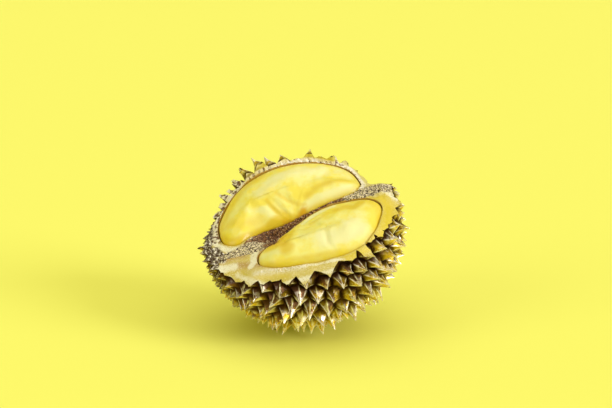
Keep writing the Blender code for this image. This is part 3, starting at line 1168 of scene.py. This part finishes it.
def finish_husk(mesh):
    """Welds the mesh, stores what the finishes read, and turns it to how the fruit lies."""
    for name in ("outline", "own_seat", "own_rise", "own_sway", "seat", "rise", "sway"):
        mesh.attributes.remove(mesh.attributes[name])
    bm = bmesh.new()
    bm.from_mesh(mesh)
    bmesh.ops.remove_doubles(bm, verts=bm.verts[:], dist=HUSK_WELD)
    print("crumbs of thorn dropped:", drop_crumbs(bm))
    bmesh.ops.triangulate(bm, faces=[face for face in bm.faces if len(face.verts) > 4])
    bm.to_mesh(mesh)
    bm.free()
    u, v, w = points_of(mesh).T
    fray, _ = distance_to_line(u, v, FRAYED_LINE)
    beneath = rim_level(u, v) - w
    stored = {
        "torn": torn_share(u, v),
        "grain": grain_of(u, v),
        "crumpled": crumpled_share(u, v, distance_outside(u, v, FAR_LOOP)),
        "crumple": crumple_of(u, v),
        "frayed": np.exp(-((fray / FRAYED_REACH) ** 2)),
        "spared": ramp(outside_far_rim(u, v), *SPARED_EDGE) * (v > 0) * ramp(u, *THORN_ROOM_BEGIN),
        "tooth": np.clip(-beneath / TOOTH_HEIGHT, 0.0, 1.0),
        # depth: how far down the chamber's wall, which sets the lining's painted shade
        "depth": np.clip(beneath / LINING_REACH, -1, 1) - NEAR_LINING_LESS_SHADE * ramp(-v, *NEAR_LINING_SPAN),
        # low sets the gold finish's painted shade: lighter low on the fruit and on the far side
        "low": np.maximum(beneath / BODY_RADIUS, FAR_SIDE_SHEEN * ramp(v, *FAR_SIDE_SHEEN_SPAN)),
        "along": u / BLOSSOM_END,
    }
    for name, dabs in RIND_DABS.items():
        stored[name] = dabbed(u, v, dabs)
    for name, values in stored.items():
        store(mesh, name, values)
    mesh.transform(FRUIT_AXES)
    mesh.shade_smooth()
    mesh.set_sharp_from_angle(angle=SHARP_ANGLE)


finish_husk(husk_mesh)
husk = linked("durian_husk", husk_mesh)
print("husk points:", len(husk_mesh.vertices))

# %% [markdown]
# ## The pods of flesh
#
# Ripe flesh is soft and heavy. It swells out of its chamber in a smooth crown, creases where it was
# pressed, and folds at the notch where it joined the core. The crown is a dome of rings over the
# outline, with its height changed by strokes: each stroke is a line on the flesh with a width and a
# depth, and it presses a groove or raises a fold along it. Soft noise keeps the dome from being perfect.

# %% Strokes on the flesh
# Each stroke: points (u, v) in millimetres, half-width in millimetres, depth in millimetres (a fold that
# stands up has a depth below 0)
FAR_STROKES = [
    ([(-4, -4), (-11, 10), (-17, 23), (-24, 33)], 2.4, 1.5),
    ([(-5, -3), (-16, 9), (-25, 24), (-34, 38)], 3.2, 1.4),
    ([(-4, -3), (1, 12), (-6, 26), (-16, 38)], 3.4, 1.1),
    ([(-4, -3), (-12, 2), (-24, 5), (-40, 9)], 3.5, 1.0),
    ([(-2, -4), (-4, 4), (-2, 9)], 3.0, 3.2),
    ([(-1, 1), (4, 5), (9, 8)], 4.0, -1.9),
    ([(9, 13), (20, 22), (38, 30), (54, 28)], 6.0, 0.9),
    ([(14, 34), (30, 40), (48, 34)], 7.0, 1.2),
    ([(-62, 24), (-48, 38), (-30, 52), (-8, 60)], 9.0, 0.8),
    ([(-70, 4), (-56, 12), (-40, 15)], 5.0, 0.8),
    ([(10, 52), (34, 56), (52, 46)], 8.0, -0.8),
    ([(-28, 14), (-30, 30), (-44, 44)], 5.0, -0.7),
]
NEAR_STROKES = [
    ([(20, -40), (19, -50), (18, -60), (20, -70)], 2.2, 1.8),
    ([(-36, -34), (-28, -31), (-22, -24)], 4.5, 2.4),
    ([(-30, -42), (-18, -36), (-12, -24)], 5.0, 1.3),
    ([(-6, -20), (4, -27), (14, -29), (20, -38)], 2.6, 0.9),
    ([(-4, -16), (9, -20), (20, -20), (27, -28)], 2.4, 0.9),
    ([(2, -12), (14, -13), (27, -12), (36, -18)], 2.2, 0.8),
    ([(8, -7), (22, -6), (36, -8), (48, -18)], 2.4, 0.8),
    ([(-2, -13), (8, -9), (18, -6), (28, -6)], 2.4, -1.8),
    ([(0, -18), (8, -14), (18, -12)], 1.4, 0.9),
    ([(36, -4), (46, -9), (53, -20)], 4.0, 1.0),
    ([(30, -40), (44, -48), (50, -58)], 12.0, -1.6),
    ([(-26, -52), (-8, -58), (8, -60)], 8.0, -0.8),
    ([(-8, -40), (6, -44), (12, -54)], 7.0, -1.0),
    ([(60, -22), (68, -32), (70, -46)], 7.0, 0.9),
]

print("strokes:", len(FAR_STROKES), "and", len(NEAR_STROKES))

# %% Dabs of colour on the flesh
# Each dab is written like those on the cut
FAR_DABS = {
    # deeper yellow, and painted shade on the sides turned from the light
    "deep": [
        ([(-82, 12), (-76, -1), (-64, -6), (-48, -2), (-30, 4), (-14, 8)], 7.0, 1.0),
        ([(-70, 22), (-56, 12), (-38, 12)], 11.0, 0.55),
        ([(-25, 31), (-22, 22), (-19, 15), (-14, 8)], 3.2, 0.8),
        ([(-14, 34), (-6, 23), (3, 15), (10, 12)], 3.5, 0.6),
        ([(14, 20), (28, 26), (44, 26), (58, 24)], 6.0, 0.75),
        ([(-78, 24), (-70, 42), (-58, 54), (-42, 64), (-22, 71)], 9.0, 0.62),
    ],
    "ripe": [
        ([(-6, 1), (0, 3), (6, 7)], 4.2, 1.0),
        ([(-16, 5), (-10, 4), (-5, 2)], 3.0, 0.7),
        ([(2, 76), (12, 76), (20, 74)], 2.6, 1.0),
    ],
    # pale cream, and painted highlights where the crown faces the light
    "cream_and_highlight": [
        ([(-28, 44), (-10, 54), (12, 58), (36, 50)], 13.0, 0.8),
        ([(10, 10), (24, 13), (44, 12), (58, 14)], 6.0, 0.9),
        ([(-46, 26), (-34, 24), (-24, 14)], 6.0, 0.6),
        ([(52, 44), (60, 34)], 9.0, 0.6),
    ],
}
NEAR_DABS = {
    # deeper yellow, and painted shade on the sides turned from the light
    "deep": [
        ([(-36, -36), (-29, -38), (-22, -36), (-17, -26)], 8.5, 1.0),
        ([(-26, -28), (-22, -40), (-21, -50)], 9.0, 1.0),
        ([(36, -18), (46, -15), (53, -22), (62, -16)], 6.5, 0.9),
        ([(8, -24), (18, -22), (28, -18)], 4.0, 0.6),
        ([(70, -20), (74, -32), (71, -48)], 5.0, 0.6),
        ([(-46, -54), (-24, -62), (0, -68), (26, -73)], 4.0, 0.55),
    ],
    "ripe": [
        ([(-34, -33), (-27, -30), (-20, -25)], 4.5, 0.8),
        ([(-27, -36), (-22, -44)], 6.0, 0.5),
    ],
    # pale cream, and painted highlights where the crown faces the light
    "cream_and_highlight": [
        ([(18, -54), (34, -58), (48, -50)], 15.0, 1.0),
        ([(2, -15), (10, -11), (22, -8), (34, -6)], 4.6, 1.0),
        ([(-50, -42), (-42, -44), (-30, -50)], 5.0, 0.6),
        ([(-6, -40), (6, -46)], 8.0, 0.5),
    ],
}
print("dabs:", sum(map(len, FAR_DABS.values())), "and", sum(map(len, NEAR_DABS.values())))

# %% The pods
FAR_NOTCH = mm(-5, 2)
NEAR_NOTCH = mm(-22, -16)
STREAK_REACH = 30 * MM
STREAK_RISE = 0.5 * MM
STREAK_START = mm(2, 10)
# Each kind: strength, how many for a radian of turn, and length
STREAK_KINDS = ((1.0, 4.5, 26 * MM), (0.5, 10, 14 * MM))
SWELL_HEIGHT = 1.5
SWELL_LENGTH = 34 * MM
DIMPLE_HEIGHT = 0.5
DIMPLE_LENGTH = 11 * MM
FOLD_DEPTH = 2 * MM
FOLD_SOFTNESS = 1.5
STROKE_ENDS = (0.08, 0.92)
STROKE_FADE = 0.7


def streaks_at(u, v, notch, seed):
    """Fine streaks from -1 to 1 that run out from the notch and fade with distance."""
    away = np.hypot(u - notch[0], v - notch[1])
    turn = np.arctan2(v - notch[1], u - notch[0])
    streaks = np.zeros(np.shape(u))
    for strength, turns, length in STREAK_KINDS:
        streaks += strength * rough(turn * turns, away / length, 1.0, seed)
    return streaks * np.exp(-away / STREAK_REACH) * ramp(away, *STREAK_START)


def strokes_at(u, v, strokes, softer=1.0):
    """How deep the strokes press at arrays of places, in metres. A stroke fades out at its ends."""
    depth = np.zeros(np.shape(u))
    for line, half_width, press in strokes:
        distance, along = distance_to_line(u, v, line)
        fade = np.sin(np.pi * np.clip(along, *STROKE_ENDS)) ** STROKE_FADE
        depth += press * MM * fade * np.exp(-((distance / (half_width * softer * MM)) ** 2))
    return depth


def pod_mesh(name, loop, spine, strokes, notch, dabs, seed):
    """A pod, with what its finish reads stored on its points."""
    rings = belly_rings(loop, spine)
    shares = [1.0] * len(rings)
    for k in range(1, CROWN_RINGS + 1):
        angle = k / (CROWN_RINGS + 0.5) * math.pi / 2
        ring = pod_ring(loop, spine, math.cos(angle))
        u, v, _ = ring.T
        swell = rough(u, v, SWELL_LENGTH, seed) * SWELL_HEIGHT * MM
        swell += rough(u, v, DIMPLE_LENGTH, seed + 4) * DIMPLE_HEIGHT * MM
        swell += STREAK_RISE * streaks_at(u, v, notch, seed)
        ring[:, 2] += math.sin(angle) * (POD_CROWN + swell - strokes_at(u, v, strokes))
        rings.append(ring)
        shares.append(math.cos(angle))
    mesh = mesh_of_rings(name, rings)
    u, v, _ = points_of(mesh).T
    crown = np.repeat(np.array(shares) < 1.0, len(loop))
    # fold: how deep the grooves press; edge: 1 at the widest line. The finish paints shade by both
    store(mesh, "fold", np.where(crown, strokes_at(u, v, strokes, FOLD_SOFTNESS) / FOLD_DEPTH, 0.0))
    store(mesh, "edge", np.repeat(np.array(shares), len(loop)))
    store(mesh, "streak", streaks_at(u, v, notch, seed))
    for attribute, group in dabs.items():
        store(mesh, attribute, dabbed(u, v, group))
    mesh.transform(FRUIT_AXES)
    mesh.shade_smooth()
    return mesh


far_flesh = pod_mesh("far_flesh_pod", FAR_LOOP, FAR_POD_SPINE, FAR_STROKES, FAR_NOTCH, FAR_DABS, 2.0)
near_flesh = pod_mesh("near_flesh_pod", NEAR_LOOP, NEAR_POD_SPINE, NEAR_STROKES, NEAR_NOTCH, NEAR_DABS, 6.0)
far_pod = linked("far_flesh_pod", far_flesh)
near_pod = linked("near_flesh_pod", near_flesh)
print("pod faces:", len(far_pod.data.polygons), len(near_pod.data.polygons))

# %% [markdown]
# ## Finish of the thorns
#
# The husk is coated like metal: it mirrors the room, in gold. The valleys at the thorns' feet are
# darkened with painted shade. The coat is brown in patches, and painted shade spreads that brown over the
# thorns' upper sides and thins it low on the fruit and on the far side, where a painted sheen keeps them
# lighter. In spots it is pale silver, and the edges and tips carry painted highlights: pale and less like
# metal. Height and ridge say how far up a thorn a point is and how near its edge. Low says how far below
# the cut, and along how far from the blossom end, where the coat is darker.

# %% Gold skin
# dark brown of the painted shade in the valleys at the thorns' feet, also used for the darker blossom end
GOLD_VALLEY_SHADE = tint(58, 32, 10)
GOLD_SIDE = tint(224, 190, 60)
# brown patina in patches, spread by painted shade over the thorns' upper sides
GOLD_PATINA_AND_SHADE = tint(136, 100, 66)
# painted highlights on the thorns' edges and tips
GOLD_HIGHLIGHT = tint(255, 248, 222)
GOLD_SILVER = tint(250, 240, 220)
BLOSSOM_SPAN = (-0.98, -0.72)


def finish_gold(paint):
    """The thorns' metal."""
    height, ridge, upper, low, along = (
        paint.stored(name) for name in ("height", "ridge", "upper", "low", "along")
    )
    patches = paint.speckle(70.0, 3.0)
    crumple = paint.speckle(260.0, 3.0, 0.6)
    grain = paint.speckle(900.0, 4.0, 0.6)
    rise = paint.step(height + (crumple - 0.5) * 0.5, 0.0, 0.6)
    # painted shade: more brown on the thorns' upper sides, less low on the fruit, on the far side and towards
    # the tips; also more towards the blossom end
    painted_shade_bias = upper * 0.2 - low * 0.32 - height * 0.08 - along * 0.1
    patina_and_shade = paint.step(patches + (crumple - 0.5) * 0.8 + painted_shade_bias, 0.41, 0.57)
    # pale silver spots on the upper parts of the thorns
    silver_spots = paint.step(paint.speckle(130.0, 3.0, 0.6), 0.5, 0.56) * paint.step(height, 0.12, 0.4)
    # painted highlights along the thorns' edges, which are also made less like metal
    edge = paint.step(ridge + (crumple - 0.5) * 0.5, 0.6, 0.88) * paint.step(height, 0.06, 0.35)
    # painted highlights on the thorns' tips
    tip = paint.step(height + (crumple - 0.5) * 0.4, 0.55, 0.95)
    blossom = (1 - paint.step(along, *BLOSSOM_SPAN)) * paint.step(crumple, 0.35, 0.6)
    colour = paint.layered(
        GOLD_SIDE,
        (patina_and_shade, GOLD_PATINA_AND_SHADE),
        (silver_spots * 0.75, GOLD_SILVER),
        # painted shade in the valleys at the thorns' feet
        (1 - rise, GOLD_VALLEY_SHADE),
        (edge * 0.85, GOLD_HIGHLIGHT),
        (tip * 0.7, GOLD_HIGHLIGHT),
        # the blossom end darkened in the same dark brown
        (blossom * 0.8, GOLD_VALLEY_SHADE),
    )
    paint.finish(
        Base_Color=colour,
        Metallic=0.92 - edge * 0.5 - tip * 0.25 - silver_spots * 0.15,
        Roughness=0.28 + (grain - 0.5) * 0.2 + (1 - rise) * 0.14,
        Normal=paint.bumps(grain, 0.3, 0.25 * MM, paint.bumps(crumple, 0.45, 1.1 * MM)),
    )


finish_gold(gold_skin)

# %% [markdown]
# ## Finish of the cut
#
# Cut rind is firm and straw-coloured, and the coating has run over it, so it shines like satin. It is
# cream at the blossom end, olive round the stalk end, and tan in patches. Cream painted highlights lie at
# the blossom end, on the ridge by the near pod's tip, on the knob and along the front edge, and a thin tan
# line of painted shade lies in the crease by that tip. The torn wall between the chambers is fibre: cream
# grains with dark gaps, and painted shade down in its dip, where the fibre is brown. The ragged edge round
# the far side is silvery on its folds, with brown painted shade between them. The spared teeth at the left
# are silver at their tops and darker low down, which is painted shade. The blossom end is dark, with pale
# shards. Where each of these lies was stored on the husk's points, and noise breaks up the borders.

# %% Cut rind and chamber lining
RIND_GOLD = tint(216, 196, 84)
RIND_STRAW = tint(232, 214, 128)
# cream of the cut, also used for its painted highlights
RIND_CREAM_AND_HIGHLIGHT = tint(255, 250, 228)
RIND_TAN = tint(188, 146, 84)
RIND_OLIVE = tint(234, 208, 46)
RIM_SILVER = tint(255, 246, 232)
RIM_SHADE = tint(124, 88, 62)
RIM_TOOTH = tint(220, 204, 92)
# painted shade low on the spared teeth at the left
RIM_TOOTH_SHADE = tint(112, 92, 58)
FIBRE_PALE = tint(255, 238, 206)
FIBRE_DARK = tint(66, 38, 20)
FIBRE_DUSK = tint(82, 60, 42)
FIBRE_BROWN = tint(156, 96, 38)
LINING_PALE = tint(222, 188, 112)
# painted shade where the chamber's wall goes down behind the pod
LINING_SHADE = tint(104, 64, 26)


def finish_rind(paint):
    """The cut surface, from the smooth shelf to the torn wall and the ragged far rim."""
    torn = paint.stored("torn")
    cloud = paint.speckle(60.0, 3.0)
    fleck = paint.speckle(900.0, 3.0, 0.65)
    fine = paint.speckle(2400.0, 2.0)
    shard = paint.speckle(330.0, 5.0, 0.75)
    wander = cloud - 0.5
    fray = fleck - 0.5
    # cream tone and painted highlights on the cut
    cream_and_highlight = paint.step(paint.stored("cream_and_highlight") + wander * 0.9 + fray * 0.5, 0.25, 0.85)
    left = 1 - paint.step(paint.stored("along") + wander * 0.4, -0.5, -0.1)
    fold = paint.stored("crumple") + fray * 2.0 - left * 0.35
    # painted shade between the folds of the ragged edge, silver on their tops
    ragged = paint.blend(paint.step(fold, -0.8, -0.2), RIM_SHADE, RIM_SILVER)
    tooth = paint.stored("tooth") + wander * 0.3
    # the spared teeth at the left: darker low down as painted shade, silver at their tops
    side = paint.blend(left, RIM_TOOTH, paint.blend(paint.step(tooth, 0.55, 0.8), RIM_TOOTH_SHADE, RIM_SILVER))
    dark_end = paint.step(paint.stored("dark_end") + (shard - 0.5) * 0.8, 0.25, 0.55)
    pit = paint.stored("grain") * 0.05 + paint.speckle(820.0, 3.0, 0.7)
    pale_fibre = paint.blend(paint.step(pit, 0.47, 0.53), FIBRE_DARK, FIBRE_PALE)
    brown_fibre = paint.layered(
        FIBRE_DARK,
        (paint.step(pit, 0.45, 0.56), FIBRE_BROWN),
        (paint.step(pit, 0.58, 0.64) * 0.85, FIBRE_PALE),
    )
    # painted shade in the dip of the torn wall, on brown fibre
    dip_shade = paint.step(paint.stored("brown") + wander * 0.5 + fray * 0.4, 0.3, 0.7)
    colour = paint.layered(
        RIND_GOLD,
        (paint.step(cloud, 0.35, 0.65), RIND_STRAW),
        (paint.stored("tan_and_crease_shade") + fray * 0.5, RIND_TAN),
        (cream_and_highlight * 0.95, RIND_CREAM_AND_HIGHLIGHT),
        ((1 - paint.step(fleck, 0.36, 0.46)) * 0.6, RIND_TAN),
        (paint.step(fleck, 0.56, 0.64) * 0.7, RIM_SILVER),
        (paint.stored("olive") * 0.85, RIND_OLIVE),
        (paint.stored("frayed") * paint.step(fleck, 0.35, 0.55), RIM_SILVER),
        (paint.stored("crumpled"), ragged),
        (paint.stored("spared") * paint.step(tooth, 0.28, 0.5), side),
        (dark_end, paint.blend(paint.step(shard, 0.5, 0.58), FIBRE_DUSK, RIM_SILVER)),
        (paint.step(torn + fray * 0.5, 0.3, 0.7), paint.blend(dip_shade, pale_fibre, brown_fibre)),
    )
    paint.finish(
        Base_Color=colour,
        Metallic=0.12 * (1 - torn),
        Roughness=0.3 + torn * 0.2 + (fine - 0.5) * 0.1,
        Normal=paint.bumps(fleck, 0.5, 0.9 * MM, paint.bumps(fine, 0.15, 0.2 * MM)),
    )


def finish_lining(paint):
    """The chamber's wall: gold near the lip, with painted shade, brown, where it goes down behind the pod."""
    depth = paint.stored("depth")
    cloud = paint.speckle(160.0, 3.0)
    colour = paint.blend(paint.step(depth + (cloud - 0.5) * 0.1, 0.06, 0.42), LINING_PALE, LINING_SHADE)
    paint.finish(Base_Color=colour, Metallic=0.3, Roughness=0.4, Normal=paint.bumps(cloud, 0.2, 0.6 * MM))


finish_rind(cut_rind)
finish_lining(chamber_lining)

# %% [markdown]
# ## Finish of the flesh
#
# Flesh is cream and moist. Light goes a little way into it, so it glows at its edges: that is
# subsurface scattering. Where its crown faces the light it is pale cream, a painted highlight. It is
# deep yellow in its folds, towards its edge and on the sides turned from the light: painted shade over
# its own deeper yellow. It is orange where it is ripest, at the notch. Broad dabs, stored on the pods'
# points, say where, and noise makes their borders soft and uneven.

# %% Flesh
FLESH_PALE = tint(255, 246, 150)
FLESH_YELLOW = tint(255, 234, 84)
# pale cream, also used for painted highlights
FLESH_CREAM_AND_HIGHLIGHT = tint(255, 250, 196)
# deeper yellow, also used for painted shade
FLESH_DEEP_AND_SHADE = tint(238, 206, 42)
FLESH_RIPE = tint(230, 182, 40)


def finish_flesh(name):
    """The pods' finish."""
    paint = Paint(name)
    cloud = paint.speckle(38.0, 3.0, 0.55)
    patch = paint.speckle(110.0, 4.0, 0.6)
    fine = paint.speckle(1500.0, 3.0)
    ragged = (patch - 0.5) * 0.5 + (cloud - 0.5) * 0.4
    colour = paint.layered(
        FLESH_YELLOW,
        (paint.step(cloud + (patch - 0.5) * 0.4, 0.36, 0.64), FLESH_PALE),
        # pale cream and painted highlights where the crown faces the light
        (paint.step(paint.stored("cream_and_highlight") + ragged, 0.2, 0.9) * 0.8, FLESH_CREAM_AND_HIGHLIGHT),
        # deeper yellow and painted shade on the sides turned from the light
        (paint.step(paint.stored("deep") + ragged, 0.2, 0.9) * 0.85, FLESH_DEEP_AND_SHADE),
        (paint.step(paint.stored("streak"), 0.05, 0.6) * 0.3, FLESH_DEEP_AND_SHADE),
        # painted shade in the grooves of the folds
        (paint.step(paint.stored("fold"), 0.25, 1.4) * 0.45, FLESH_DEEP_AND_SHADE),
        # painted shade towards the pod's edge
        (paint.step(paint.stored("edge"), 0.8, 1.0) * 0.6, FLESH_DEEP_AND_SHADE),
        (paint.step(paint.stored("ripe") + ragged * 0.6, 0.1, 1.0), FLESH_RIPE),
    )
    return paint.finish(
        Base_Color=colour,
        Roughness=0.36 + (patch - 0.5) * 0.2,
        Normal=paint.bumps(fine, 0.1, 0.3 * MM, paint.bumps(patch, 0.35, 1.2 * MM)),
        Subsurface_Weight=0.12,
        Subsurface_Scale=3 * MM,
        Subsurface_Radius=(1.0, 0.8, 0.35),
        Coat_Weight=0.2,
        Coat_Roughness=0.25,
    )


flesh = finish_flesh("durian_flesh")
for pod in (far_pod, near_pod):
    pod.data.materials.append(flesh)

# %% [markdown]
# ## Handing the pieces over
#
# Each piece rides on the fruit's one body and takes the place of its CAD node.

# %% Pieces and bodies
for piece, node, slot in (
    (husk, "husk", "husk"),
    (far_pod, "far_pod", "flesh"),
    (near_pod, "near_pod", "flesh"),
):
    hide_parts(node)
    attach(piece, "root")
